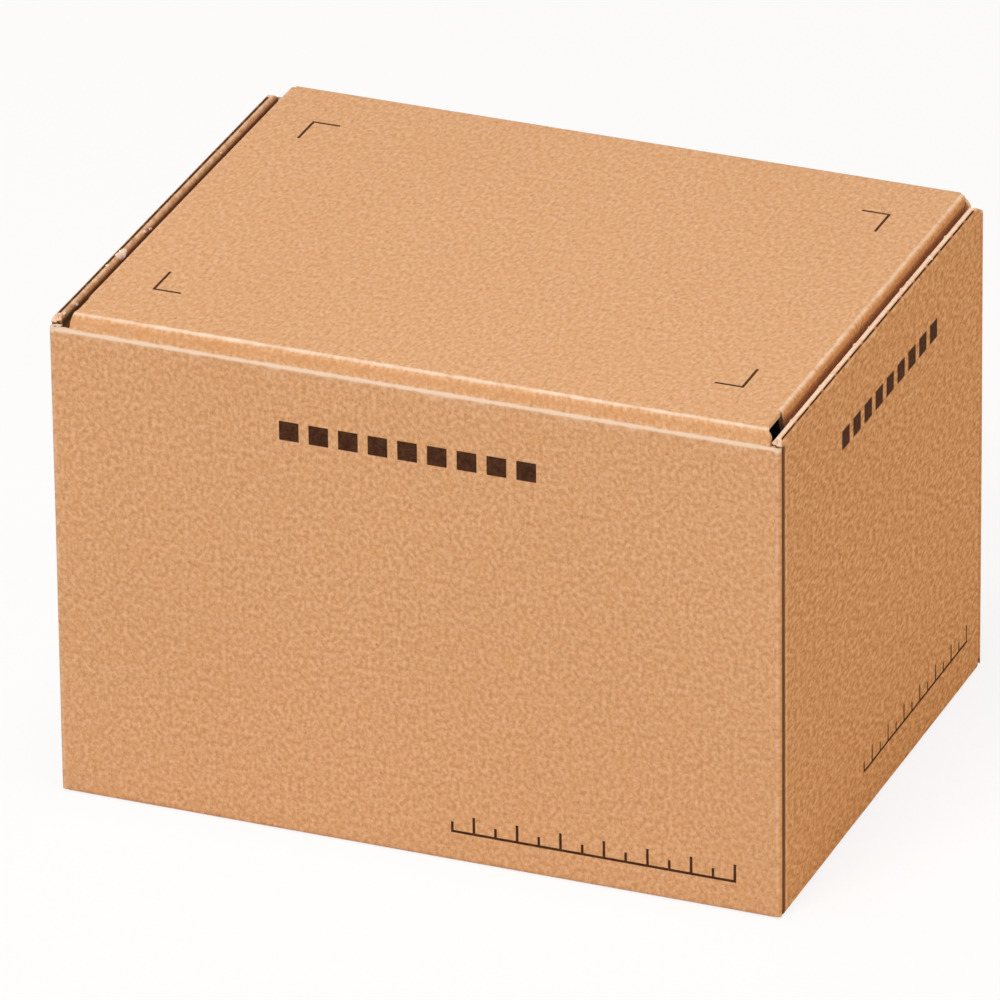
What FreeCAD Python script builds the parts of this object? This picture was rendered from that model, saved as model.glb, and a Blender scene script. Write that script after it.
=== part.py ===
import FreeCAD, Part
import math
import os
import re
import Sketcher

# A roll-end mailer box, folded from one sheet of fine corrugated board.
# X runs along the hinge wall, +Y points away from it, and the floor rests on Z = 0.
# The sheet is two solids, because its lid turns about a crease: the tray, and the lid.

# Driving sizes in millimetres
SIZES = {
    "inner_width": (160.0, "clear width between the inner end panels"),
    "inner_depth": (120.0, "clear depth between the hinge wall and the tuck flap's tip"),
    "wall_height": (112.5, "crease at the top of the hinge wall, above the ground"),
    "board": (1.2, "thickness of the corrugated board"),
    "lap_gap": (0.15, "air between two layers that lie together"),
    "fold_inside": (0.3, "inside radius of a fold"),
    "tuck_room": (4.2, "depth that the tuck flap and its lean take up"),
    "corner_cut": (2.2, "height at which the corner folds start, above the ground"),
    "corner_shy": (0.2, "how far the corner folds stay inside the end walls' faces"),
    "corner_flap": (52.0, "length of a corner flap that is held in an end wall"),
    "flap_bevel": (7.0, "bevel at the free corners of a corner flap"),
    "far_rise": (1.0, "far wall's top edge above the hinge wall's crease"),
    "end_rise": (1.9, "ridge of an end wall above the hinge wall's crease"),
    "end_setback": (3.0, "far edge of an end wall, in from the far wall's face"),
    "near_setback": (2.4, "near edge of an end wall, in from the hinge wall's face"),
    "crest_radius": (0.5, "rounding along both edges of the ridge"),
    "nose_radius": (2.5, "rounding at the far end of the ridge"),
    "near_nose": (1.9, "rounding at the near end of the ridge"),
    "pinch_drop": (3.0, "height over which the two layers stay pinched under the ridge"),
    "lean_drop": (14.9, "height below the ridge where the inner panel stands clear of the flaps"),
    "edge_gap": (0.5, "air beside the free edges of the inner panels"),
    "perf_pitch": (8.0, "pitch of the cuts along the perforated ridge"),
    "perf_cut": (6.9, "length of one cut"),
    "perf_width": (0.7, "width of one cut"),
    "perf_start": (3.2, "first cut, in from the near edge"),
    "tab_length": (26.0, "length of a lock tab"),
    "tab_place": (28.0, "middle of a lock tab, from the middle of the box"),
    "tab_gap": (0.15, "air round a lock tab in its slot"),
    "spine_rise": (3.9, "top of the lid above the hinge wall's crease"),
    "spine_lean": (1.0, "how far the spine leans in towards the lid"),
    "spine_inset": (0.4, "each end of the spine, in from the lid's side"),
    "hinge_gap": (0.3, "air between the spine and the lid's rolled edge"),
    "lid_clearance": (0.6, "air between a side flap and the inner panel"),
    "lid_taper": (1.0, "how much narrower the lid is at its hinge edge"),
    "side_start": (4.7, "side flap's near end, from the hinge axis"),
    "side_depth": (22.0, "how far a side flap reaches below the lid's top"),
    "side_slant": (10.7, "slant of a side flap's near edge"),
    "side_rake": (5.0, "slant of a side flap's far edge"),
    "slit": (0.3, "cut between a side flap and the tuck flap"),
    "tuck_clearance": (0.5, "air between the tuck flap and the far wall"),
    "tuck_depth": (25.0, "how far the tuck flap reaches below the lid's top"),
    "ear_gap": (0.3, "air between the tuck flap's ears and the corner flaps"),
    "ear_drop": (8.0, "straight height of an ear below its shoulder"),
    "tip_inset": (11.0, "tuck flap's straight tip edge, in from the ears"),
    "tip_radius": (6.0, "rounding of the tuck flap's tip corners"),
}

# Places that follow from the driving sizes
PLACES = {
    "fold_out": "fold_inside + board",
    "half_w": "inner_width / 2 + 3 * board + 2 * lap_gap",
    "half_d": "inner_depth / 2 + board + tuck_room / 2",
    "ridge_z": "wall_height + end_rise",
    "far_top": "wall_height + far_rise",
    "layer_mid": "half_w - board - lap_gap",
    "layer_in": "layer_mid - board",
    "corner_x": "half_w - corner_shy",
    "corner_flat": "corner_x - fold_out",
    "end_far": "half_d - end_setback",
    "end_near": "near_setback - half_d",
    "far_jog": "end_far + lap_gap",
    "near_jog": "end_near - lap_gap",
    "pinch_z": "ridge_z - pinch_drop",
    "lean_z": "ridge_z - lean_drop",
    "flap_top": "lean_z - edge_gap",
    "foot_z": "board + lap_gap",
    "inner_half": "inner_width / 2",
    "perf_x": "half_w - board - lap_gap / 2",
    "lid_top": "wall_height + spine_rise",
    "hinge_y": "spine_lean + board / 2 - half_d",
    "hinge_z": "lid_top - board / 2",
    "spine_z": "hinge_z - board / 2 - hinge_gap",
    "spine_y": "spine_lean * (spine_z - wall_height) / (hinge_z - wall_height) - half_d",
    "lid_half": "inner_half - lid_clearance",
    "spine_half": "lid_half - spine_inset",
    "flat_half": "lid_half - fold_out",
    "fold_z": "lid_top - fold_out",
    "lid_far": "half_d - board - tuck_clearance",
    "side_near": "hinge_y + side_start",
    "side_far": "lid_far - fold_out - slit",
    "side_low": "lid_top - side_depth",
    "tip_z": "lid_top - tuck_depth",
    # The tip leans in by just enough to swing up past the far wall.
    "tip_out": "hinge_y + sqrt((lid_far - hinge_y) ^ 2 - (hinge_z - tip_z) ^ 2)",
    "tip_in": "tip_out - board",
    "ear_half": "layer_in - ear_gap",
    "ear_low": "fold_z - (ear_half - flat_half) - ear_drop",
    "tip_half": "ear_half - tip_inset",
}

LEFT_TURN = 1
RIGHT_TURN = -1

doc = FreeCAD.newDocument("mailer_box")
sheet = doc.addObject("Spreadsheet::Sheet", "Sizes")
for row, (alias, (value, note)) in enumerate(SIZES.items(), start=1):
    sheet.set(f"A{row}", note)
    sheet.set(f"B{row}", str(value))
    sheet.setAlias(f"B{row}", alias)
doc.recompute()


def formula(text):
    """Spell a place or a size out in the sheet's own cells."""
    def spell(match):
        word = match.group(0)
        if word in PLACES:
            return "(" + formula(PLACES[word]) + ")"
        return f"Sizes.{word}" if word in SIZES else word
    return re.sub(r"[a-z_]+", spell, text)


def value_of(text):
    return float(sheet.evalExpression(formula(text)))


def point_of(corner):
    return FreeCAD.Vector(value_of(corner[0]), value_of(corner[1]), 0)


def arc_between(start, end, radius, turn):
    """The arc from start to end that bends to the left or to the right."""
    chord = end - start
    rise = math.sqrt(max(radius ** 2 - chord.Length ** 2 / 4, 0.0))
    aside = FreeCAD.Vector(-chord.y, chord.x, 0).normalize()
    centre = (start + end) / 2 + aside * rise * turn
    first, last = (start, end) if turn == LEFT_TURN else (end, start)
    angles = [math.atan2(p.y - centre.y, p.x - centre.x) for p in (first, last)]
    circle = Part.Circle(centre, FreeCAD.Vector(0, 0, 1), radius)
    return Part.ArcOfCircle(circle, angles[0], angles[1])


def bind(sketch, kind, edge, end, text):
    """Tie one coordinate of an edge's end to its formula."""
    constraint = Sketcher.Constraint(kind, edge, end, value_of(text))
    index = sketch.addConstraint(constraint)
    sketch.setExpression(f"Constraints[{index}]", formula(text))


def draw_outline(sketch, corners):
    """Draw one closed outline. A corner is (x, y), or (x, y, radius, turn) where an arc ends."""
    starts = []
    ends = []
    for place, corner in enumerate(corners):
        start = point_of(corners[place - 1])
        end = point_of(corner)
        if len(corner) == 2:
            edge = sketch.addGeometry(Part.LineSegment(start, end), False)
            starts.append((edge, 1))
            ends.append((edge, 2))
            continue
        radius, turn = corner[2:]
        edge = sketch.addGeometry(arc_between(start, end, value_of(radius), turn), False)
        starts.append((edge, 1 if turn == LEFT_TURN else 2))
        ends.append((edge, 2 if turn == LEFT_TURN else 1))
        index = sketch.addConstraint(Sketcher.Constraint("Radius", edge, value_of(radius)))
        sketch.setExpression(f"Constraints[{index}]", formula(radius))
    for place, corner in enumerate(corners):
        following = (place + 1) % len(corners)
        sketch.addConstraint(Sketcher.Constraint("Coincident", *ends[place], *starts[following]))
        edge, end = ends[place]
        for kind, text, axis in (("DistanceX", corner[0], -2), ("DistanceY", corner[1], -1)):
            if text == "0":
                sketch.addConstraint(Sketcher.Constraint("PointOnObject", edge, end, axis))
            else:
                bind(sketch, kind, edge, end, text)


def other_side(corners):
    """The same outline on the other side of the sketch's upright axis."""
    return [(f"-({c[0]})", c[1]) + ((c[2], -c[3]) if len(c) > 2 else ()) for c in corners]


def new_sketch(body, role, name, outlines, offset=None):
    """A sketch on one of the body's origin planes, moved along the plane's normal by offset."""
    sketch = body.newObject("Sketcher::SketchObject", name)
    plane = next(f for f in body.Origin.OriginFeatures if f.Role == role)
    sketch.AttachmentSupport = [(plane, "")]
    sketch.MapMode = "FlatFace"
    if offset:
        sketch.setExpression("AttachmentOffset.Base.z", formula(offset))
    for corners in outlines:
        draw_outline(sketch, corners)
    doc.recompute()
    return sketch


def extrude(body, kind, sketch, name, length, symmetric=False):
    """Pad or pocket a sketch over a length that is bound to its formula."""
    feature = body.newObject(f"PartDesign::{kind}", name)
    feature.Profile = sketch
    feature.SideType = "Symmetric" if symmetric else "One side"
    if length is None:
        feature.Type = "ThroughAll"
    else:
        feature.setExpression("Length", formula(length))
    doc.recompute()
    return feature


def mirror_across(body, name, features):
    """Repeat features on the other side of the box's middle plane."""
    mirrored = body.newObject("PartDesign::Mirrored", name)
    mirrored.Originals = features
    plane = next(f for f in body.Origin.OriginFeatures if f.Role == "YZ_Plane")
    mirrored.MirrorPlane = (plane, [""])
    body.Tip = mirrored
    doc.recompute()
    return mirrored


def rectangle(x0, x1, y0, y1):
    return [(x0, y0), (x1, y0), (x1, y1), (x0, y1)]


# Tray: the floor, the hinge wall and the far wall are one strip of board with rounded folds.
tray = doc.addObject("PartDesign::Body", "tray")

wall_strip = [
    ("-half_d", "wall_height"),
    ("-half_d", "fold_out"),
    ("fold_out - half_d", "0", "fold_out", LEFT_TURN),
    ("half_d - fold_out", "0"),
    ("half_d", "fold_out", "fold_out", LEFT_TURN),
    ("half_d", "far_top"),
    ("half_d - board", "far_top"),
    ("half_d - board", "fold_out"),
    ("half_d - fold_out", "board", "fold_inside", RIGHT_TURN),
    ("fold_out - half_d", "board"),
    ("board - half_d", "fold_out", "fold_inside", RIGHT_TURN),
    ("board - half_d", "wall_height"),
]
strip_sketch = new_sketch(tray, "YZ_Plane", "strip_profile", [wall_strip])
extrude(tray, "Pad", strip_sketch, "floor_and_long_walls", "2 * corner_flat", symmetric=True)

# The outer panel of each end wall folds up from the floor and ends in the ridge's outer half.
end_panel = [
    ("corner_flat - board", "0"),
    ("half_w - fold_out", "0"),
    ("half_w", "fold_out", "fold_out", LEFT_TURN),
    ("half_w", "ridge_z - crest_radius"),
    ("half_w - crest_radius", "ridge_z", "crest_radius", LEFT_TURN),
    ("half_w - board", "ridge_z"),
    ("half_w - board", "fold_out"),
    ("half_w - fold_out", "board", "fold_inside", RIGHT_TURN),
    ("corner_flat - board", "board"),
]
end_sketch = new_sketch(tray, "XZ_Plane", "end_panel_profile",
                        [end_panel, other_side(end_panel)], "-end_far")
extrude(tray, "Pad", end_sketch, "end_panels", "end_far - end_near")

# The inner panel rolls over the ridge, stays pinched to the outer one, then leans in round the flaps.
inner_panel = [
    ("half_w - board", "ridge_z"),
    ("layer_in + crest_radius", "ridge_z"),
    ("layer_in", "ridge_z - crest_radius", "crest_radius", LEFT_TURN),
    ("layer_in", "pinch_z"),
    ("inner_half", "lean_z"),
    ("inner_half", "foot_z"),
    ("inner_half + board", "foot_z"),
    ("inner_half + board", "lean_z"),
    ("layer_mid", "pinch_z"),
    ("layer_mid", "ridge_z - board"),
    ("half_w - board", "ridge_z - board"),
]
inner_far = "lid_far - board - edge_gap"
inner_near = "near_jog + edge_gap"
inner_sketch = new_sketch(tray, "XZ_Plane", "inner_panel_profile",
                          [inner_panel, other_side(inner_panel)], f"-({inner_far})")
extrude(tray, "Pad", inner_sketch, "inner_panels", f"{inner_far} - ({inner_near})")

# The inner panel's far edge is cut back along the leaning tuck flap.
far_trim = [
    ("tip_in - edge_gap", "board + lap_gap / 2"),
    ("lid_far", "board + lap_gap / 2"),
    ("lid_far", "ridge_z"),
    (inner_far, "ridge_z"),
    ("tip_in - edge_gap", "tip_z"),
]
trim_sketch = new_sketch(tray, "YZ_Plane", "inner_far_edge", [far_trim])
extrude(tray, "Pocket", trim_sketch, "inner_far_cut", "2 * (half_w - board)", symmetric=True)

# The ridge ends in a rounded nose at each end.
far_nose = [
    ("end_far - nose_radius", "ridge_z"),
    ("end_far", "ridge_z - nose_radius", "nose_radius", RIGHT_TURN),
    ("end_far + lap_gap", "ridge_z - nose_radius"),
    ("end_far + lap_gap", "ridge_z + board"),
    ("end_far - nose_radius", "ridge_z + board"),
]
near_nose = [
    ("end_near + near_nose", "ridge_z"),
    ("end_near", "ridge_z - near_nose", "near_nose", LEFT_TURN),
    ("end_near - lap_gap", "ridge_z - near_nose"),
    ("end_near - lap_gap", "ridge_z + board"),
    ("end_near + near_nose", "ridge_z + board"),
]
nose_sketch = new_sketch(tray, "YZ_Plane", "nose_outlines", [far_nose, near_nose])
extrude(tray, "Pocket", nose_sketch, "ridge_noses", "2 * (half_w + board)", symmetric=True)

# The ridge is perforated: cuts open into the slot between its two layers, with nicks between.
perf_y = "perf_start - half_d"
first_cut = rectangle("perf_x - perf_width / 2", "perf_x + perf_width / 2", perf_y, f"{perf_y} + perf_cut")
perf_sketch = new_sketch(tray, "XY_Plane", "ridge_cut", [first_cut, other_side(first_cut)], "ridge_z")
perf_pocket = extrude(tray, "Pocket", perf_sketch, "ridge_cuts", "board + lap_gap")
perf_row = tray.newObject("PartDesign::LinearPattern", "ridge_cut_row")
perf_row.Originals = [perf_pocket]
perf_row.Direction = (perf_sketch, ["V_Axis"])
perf_row.Mode = "Spacing"
perf_row.setExpression("Offset", formula("perf_pitch"))
perf_room = value_of("end_far - nose_radius + half_d - perf_start - perf_cut")
perf_row.Occurrences = int(perf_room // value_of("perf_pitch")) + 1
tray.Tip = perf_row
doc.recompute()

# Lock tabs at the foot of each inner panel stand in slots of the floor.
tab_slots = []
tabs = []
for middle in ("tab_place", "-tab_place"):
    slot = rectangle("inner_half - tab_gap", "inner_half + board + tab_gap",
                     f"{middle} - tab_length / 2 - tab_gap", f"{middle} + tab_length / 2 + tab_gap")
    tab = rectangle("inner_half", "inner_half + board",
                    f"{middle} - tab_length / 2", f"{middle} + tab_length / 2")
    tab_slots += [slot, other_side(slot)]
    tabs += [tab, other_side(tab)]
slot_sketch = new_sketch(tray, "XY_Plane", "tab_slot_outlines", tab_slots, "board")
extrude(tray, "Pocket", slot_sketch, "tab_slots", None)
tab_sketch = new_sketch(tray, "XY_Plane", "tab_outlines", tabs, "tab_gap")
extrude(tray, "Pad", tab_sketch, "lock_tabs", "foot_z - tab_gap")

# The spine is a narrow band between the hinge wall's crease and the lid's crease.
spine_band = [
    ("-half_d", "wall_height"),
    ("board - half_d", "wall_height"),
    ("spine_y + board", "spine_z"),
    ("spine_y", "spine_z"),
]
spine_sketch = new_sketch(tray, "YZ_Plane", "spine_profile", [spine_band])
extrude(tray, "Pad", spine_sketch, "spine", "2 * spine_half", symmetric=True)

# Each long wall ends in two corner folds. They stand out beyond the end walls' edges and jog in
# behind them, where they lead on into the corner flaps.


def corner_fold(face, inward, jog, turn):
    """A fold from a long wall's face round to the slot between an end wall's layers."""
    return [
        ("corner_flat", f"{face} {inward} board"),
        ("corner_flat + fold_inside", f"{face} {inward} fold_out", "fold_inside", turn),
        ("layer_in", jog),
        ("layer_mid", jog),
        ("corner_x", f"{face} {inward} fold_out"),
        ("corner_flat", face, "fold_out", -turn),
    ]


near_fold = corner_fold("-half_d", "+", "near_jog", LEFT_TURN)
near_sketch = new_sketch(tray, "XY_Plane", "near_fold_profile",
                         [near_fold, other_side(near_fold)], "corner_cut")
extrude(tray, "Pad", near_sketch, "near_corner_folds", "wall_height - corner_cut")
far_fold = corner_fold("half_d", "-", "far_jog", RIGHT_TURN)
far_sketch = new_sketch(tray, "XY_Plane", "far_fold_profile",
                        [far_fold, other_side(far_fold)], "corner_cut")
extrude(tray, "Pad", far_sketch, "far_corner_folds", "far_top - corner_cut")


def corner_flap_outline(root, inward):
    """A flap that starts at its fold and runs inward, with its free corners cut off."""
    tip = f"{root} {inward} corner_flap"
    bevel = f"{root} {inward} (corner_flap - flap_bevel)"
    return [(root, "corner_cut"), (bevel, "corner_cut"), (tip, "corner_cut + flap_bevel"),
            (tip, "flap_top - flap_bevel"), (bevel, "flap_top"), (root, "flap_top")]


flap_outlines = [corner_flap_outline("near_jog", "+"), corner_flap_outline("far_jog", "-")]
flap_pads = []
for place, corners in zip(("near", "far"), flap_outlines):
    sketch = new_sketch(tray, "YZ_Plane", f"{place}_flap_outline", [corners], "layer_in")
    flap_pads.append(extrude(tray, "Pad", sketch, f"{place}_flap", "board"))
mirror_across(tray, "other_flaps", flap_pads)

# Lid: the tuck flap leans in from the far fold, and its ears flare behind the inner panels.
lid = doc.addObject("PartDesign::Body", "lid")

tuck_flap = [
    ("lid_far - board", "fold_z"),
    ("tip_in", "tip_z"),
    ("tip_out", "tip_z"),
    ("lid_far", "fold_z"),
]
tuck_sketch = new_sketch(lid, "YZ_Plane", "tuck_profile", [tuck_flap])
extrude(lid, "Pad", tuck_sketch, "tuck_flap", "2 * ear_half", symmetric=True)

above_shoulder = [
    ("flat_half", "fold_z"),
    ("ear_half", "fold_z - (ear_half - flat_half)", "ear_half - flat_half", RIGHT_TURN),
    ("ear_half + board", "fold_z - (ear_half - flat_half)"),
    ("ear_half + board", "fold_z + board"),
    ("flat_half", "fold_z + board"),
]
below_ear = [
    ("ear_half", "ear_low"),
    ("tip_half + tip_radius", "tip_z + tip_radius"),
    ("tip_half", "tip_z", "tip_radius", RIGHT_TURN),
    ("tip_half", "tip_z - board"),
    ("ear_half + board", "tip_z - board"),
    ("ear_half + board", "ear_low"),
]
ear_outlines = [above_shoulder, other_side(above_shoulder), below_ear, other_side(below_ear)]
ear_sketch = new_sketch(lid, "XZ_Plane", "ear_outlines", ear_outlines)
extrude(lid, "Pocket", ear_sketch, "ear_cuts", None)

# The panel ends in a half-round edge at the hinge crease, centred on the hinge axis.
hinge_roll = [
    ("hinge_y - board / 2", "hinge_z", "board / 2", LEFT_TURN),
    ("hinge_y", "hinge_z - board / 2", "board / 2", LEFT_TURN),
]
lid_panel = [
    ("hinge_y", "lid_top"),
    *hinge_roll,
    ("lid_far - fold_out", "lid_top - board"),
    ("lid_far - board", "fold_z", "fold_inside", RIGHT_TURN),
    ("lid_far", "fold_z"),
    ("lid_far - fold_out", "lid_top", "fold_out", LEFT_TURN),
]
panel_sketch = new_sketch(lid, "YZ_Plane", "panel_profile", [lid_panel])
extrude(lid, "Pad", panel_sketch, "panel", "2 * flat_half", symmetric=True)

hinge_edge = [
    ("hinge_y", "lid_top"),
    *hinge_roll,
    ("side_near", "lid_top - board"),
    ("side_near", "lid_top"),
]
edge_sketch = new_sketch(lid, "YZ_Plane", "hinge_edge_profile", [hinge_edge])
extrude(lid, "Pad", edge_sketch, "hinge_edge", "2 * (lid_half - lid_taper)", symmetric=True)

# The side folds run along both sides, and the side flaps hang from them.
side_fold = [
    ("flat_half", "lid_top - board"),
    ("lid_half - board", "fold_z", "fold_inside", RIGHT_TURN),
    ("lid_half", "fold_z"),
    ("flat_half", "lid_top", "fold_out", LEFT_TURN),
]
side_sketch = new_sketch(lid, "XZ_Plane", "side_fold_profile",
                         [side_fold, other_side(side_fold)], "-(side_far)")
extrude(lid, "Pad", side_sketch, "side_folds", "side_far - side_near")

side_flap = [
    ("side_near", "fold_z"),
    ("side_near + side_slant", "side_low"),
    ("side_far - side_rake", "side_low"),
    ("side_far", "fold_z"),
]
flap_sketch = new_sketch(lid, "YZ_Plane", "side_flap_outline", [side_flap], "lid_half - board")
side_pad = extrude(lid, "Pad", flap_sketch, "side_flap", "board")
mirror_across(lid, "other_side_flap", [side_pad])

# Every feature has to be sound before anything is written
doc.recompute()
for item in doc.Objects:
    if "Invalid" in item.State or "Error" in item.State:
        raise RuntimeError(f"{item.Label} failed: {item.State}")
for body in (tray, lid):
    shape = body.Shape
    if shape.isNull() or not shape.isValid() or len(shape.Solids) != 1:
        raise RuntimeError(f"{body.Label} isn't one sound solid")

os.makedirs("parts", exist_ok=True)
for body in (tray, lid):
    body.Label = body.Name
    body.Shape.exportStep(f"parts/{body.Label}.step")
    box = body.Shape.BoundBox
    area = body.Shape.Volume / value_of("board")
    print(f"{body.Label}: x {box.XMin:.2f} to {box.XMax:.2f}, y {box.YMin:.2f} to {box.YMax:.2f}, "
          f"z {box.ZMin:.2f} to {box.ZMax:.2f}, sheet area {area / 100:.0f} square cm")
print(f"hinge axis at y {value_of('hinge_y'):.2f}, z {value_of('hinge_z'):.2f}")
print(f"clear depth at the tuck flap's tip {value_of('tip_in + half_d - board'):.2f}")
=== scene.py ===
# %% [markdown]
# # A folded mailer box of corrugated board
# The real object is one sheet of fine corrugated board, die-cut and folded, with no glue. Here every panel
# is worked out from its place on that flat sheet, so folds, cuts and flutes fall where they do on the real
# one. Lengths in the formulas are millimetres, and the meshes are in metres.

# %% Load the frame
import math
import bpy
import numpy as np
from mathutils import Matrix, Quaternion, Vector

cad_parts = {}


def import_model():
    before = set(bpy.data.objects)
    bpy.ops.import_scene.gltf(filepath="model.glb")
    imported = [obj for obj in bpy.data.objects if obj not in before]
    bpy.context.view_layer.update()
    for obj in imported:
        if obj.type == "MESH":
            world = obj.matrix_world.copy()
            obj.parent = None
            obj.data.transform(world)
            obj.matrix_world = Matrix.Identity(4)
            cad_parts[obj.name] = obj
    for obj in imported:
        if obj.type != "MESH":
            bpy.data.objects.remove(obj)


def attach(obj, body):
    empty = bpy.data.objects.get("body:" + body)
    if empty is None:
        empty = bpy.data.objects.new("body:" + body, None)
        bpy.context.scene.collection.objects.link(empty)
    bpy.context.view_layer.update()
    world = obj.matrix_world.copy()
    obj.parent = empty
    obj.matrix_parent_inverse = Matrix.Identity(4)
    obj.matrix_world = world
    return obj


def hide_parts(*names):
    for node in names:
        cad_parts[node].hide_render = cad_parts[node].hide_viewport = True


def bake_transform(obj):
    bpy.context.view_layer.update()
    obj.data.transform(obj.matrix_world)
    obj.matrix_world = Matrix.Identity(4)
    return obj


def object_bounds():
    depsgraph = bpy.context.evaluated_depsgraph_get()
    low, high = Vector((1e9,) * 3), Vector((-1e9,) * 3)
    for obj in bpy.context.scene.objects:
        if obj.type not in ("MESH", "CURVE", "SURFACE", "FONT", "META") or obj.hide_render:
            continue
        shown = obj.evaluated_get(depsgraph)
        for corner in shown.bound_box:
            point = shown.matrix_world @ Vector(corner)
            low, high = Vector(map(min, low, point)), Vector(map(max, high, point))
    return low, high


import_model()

cad_low, cad_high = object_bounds()
MM = 0.001
half_w, half_d = cad_high.x / MM, cad_high.y / MM
lid_top = cad_high.z / MM
print("outside half width, half depth and height:", round(half_w, 2), round(half_d, 2), round(lid_top, 2))

# %% [markdown]
# ## The board and its folds
# Two liners with a waved sheet between them make 1.2 mm of board. A fold has an inside radius of 0.3 mm, so
# the middle of the board bends on a radius of 0.9 mm. One value for each of these keeps every panel alike.

# %% Board and folds
BOARD = 1.2
LINER = 0.2
HALF = BOARD / 2
LAP = 0.15  # gap between two layers that lie against each other
FLUTE_PITCH = 3.2
FLUTE_SHEET = 0.15
FOLD_IN = 0.3
FOLD_OUT = FOLD_IN + BOARD
FOLD_MID = FOLD_IN + HALF
QUARTER = math.pi / 2
FOLD_LENGTH = FOLD_MID * QUARTER
print("a square fold takes", round(FOLD_LENGTH, 3), "mm of the sheet")

# %% [markdown]
# ## Places of the folds
# The places follow from the box's outside size, the layers at each end (outer panel, trapped corner flap,
# inner panel) and small gaps for folding. They could be typed in one by one. Worked out from each other,
# layers that lie together on the real box also lie together here.

# %% Places of the folds
wall_height = lid_top - 3.9
far_top = wall_height + 1.0
ridge_z = wall_height + 1.9
end_far = half_d - 3.0
layer_mid = half_w - BOARD - LAP
layer_in = layer_mid - BOARD
corner_x = half_w - 0.2
corner_flat = corner_x - FOLD_OUT
end_near = 2.4 - half_d
near_jog, far_jog = end_near - LAP, end_far + LAP
inner_half = 80.0
spine_lean = 1.0
hinge_y = spine_lean + HALF - half_d
hinge_z = lid_top - HALF
spine_angle = math.atan2(spine_lean, hinge_z - wall_height)
lid_half = inner_half - 0.4
lid_shift = 0.9
flat_half = lid_half - FOLD_OUT
corner_top = wall_height - 0.9
CORNER_MID = 0.45
CORNER_LENGTH = CORNER_MID * QUARTER
lid_far = half_d - BOARD - 0.5
side_near = hinge_y + 8.8
side_far = lid_far - FOLD_OUT - 0.3
corner_cut, corner_foot = 2.2, 0.7
tab_middle, tab_half, tab_gap = 28.0, 13.0, 0.15
print("hinge axis at y", round(hinge_y, 2), "z", round(hinge_z, 2))

# %% [markdown]
# ## Folding a strip
# A strip of board is followed like a path: straight stretches, and stretches that turn by an angle. The
# distance along the path is the distance on the flat sheet, so a pattern that is laid out on the sheet
# keeps its size over every fold. The outer side of the board is on the right of the path, or on its left
# where the sign says so. Hinged flat panels could be turned one by one instead, but they would have no
# round folds.

# %% Path of a folded strip
def along(angle, rate, way):
    """Bearing and shift after going some way. The bearing is the angle plus rate times way. Where the rate is
    nought the shift is the way times the heading, else it is the arc from one bearing to the other."""
    bearing = angle + rate * way
    if rate:
        arc = np.stack([np.sin(bearing) - math.sin(angle), math.cos(angle) - np.cos(bearing)], -1)
        return bearing, arc / rate
    return bearing, np.stack([np.cos(bearing), np.sin(bearing)], -1) * way[..., None]


def folded(start, heading, stretches, distance, side=1.0):
    """Points and outer normals at each distance. On a straight stretch a point is its start plus distance
    times the heading. On a turning one it goes round an arc of radius length over turn."""
    distance = np.asarray(distance, float)
    points = np.empty(distance.shape + (2,))
    normals = np.empty_like(points)
    at, angle, done = np.array(start, float), heading, 0.0
    for length, turn in stretches:
        here = distance >= done - 1e-9
        bearing, step = along(angle, turn / length, distance[here] - done)
        points[here] = at + step
        normals[here] = np.stack([np.sin(bearing), -np.cos(bearing)], -1) * side
        at = at + along(angle, turn / length, np.array(length))[1]
        angle, done = angle + turn, done + length
    return points, normals


one_fold = [(10.0, 0.0), (FOLD_LENGTH, QUARTER), (10.0, 0.0)]
fold_tip = folded((0.0, 0.0), 0.0, one_fold, [20.0 + FOLD_LENGTH])[0][0]
print("a strip of two 10 mm panels and one fold ends at", [round(float(x), 2) for x in fold_tip])


def sideways_step(across, forward, radius=0.3):
    """Stretches that shift a path sideways: an arc, a straight and the same arc back. The straight squared is
    across squared plus forward squared, less four times across times radius."""
    straight = math.sqrt(across ** 2 + forward ** 2 - 4 * across * radius)
    turn = math.atan2(across - 2 * radius, forward) + math.atan2(2 * radius, straight)
    return [(radius * turn, turn), (straight, 0.0), (radius * turn, -turn)]


# %% [markdown]
# ## Strips in space
# A path is flat, and each strip carries it along one axis of the box. Real board is never quite flat, so
# each strip also lies a little inside its ideal face, by long shallow waves. A displacement modifier could
# do that too. Here the same wave serves the board and the print on it, so the print never sinks in.

# %% Strips in space
def ripple(points):
    """How far the board lies inside its ideal face, never outward: 0.1 mm, plus 0.05 mm times the mean of
    three long sines, plus 0.012 mm times the product of two short ones."""
    x, y, z = points[..., 0], points[..., 1], points[..., 2]
    broad = np.sin(x / 23 + y / 31 + 0.7) + np.sin(y / 17 - z / 27 + 2.1) + np.sin(z / 19 + x / 37)
    small = np.sin(x / 3.1 + z / 5.3) * np.sin(y / 4.3 - z / 3.7 + x / 6.1)
    return 0.10 + 0.05 * broad / 3 + 0.012 * small


def bent_along_x(path, x, distance, side=1.0):
    """A strip whose profile lies in the Y-Z plane and is carried along X, set inward by the ripple."""
    points, normals = folded(*path, distance, side)
    middle = np.stack([x, points[..., 0], points[..., 1]], -1)
    outward = np.stack([np.zeros_like(x), normals[..., 0], normals[..., 1]], -1)
    return middle - outward * ripple(middle)[..., None], outward


def bent_along_y(path, distance, y, hand, side=1.0):
    """The same with a profile in the X-Z plane, carried along Y. Hand is 1 on the right, -1 on the left."""
    points, normals = folded(*path, distance, side)
    middle = np.stack([hand * points[..., 0], y, points[..., 1]], -1)
    outward = np.stack([hand * normals[..., 0], np.zeros_like(y), normals[..., 1]], -1)
    return middle - outward * ripple(middle)[..., None], outward


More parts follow.
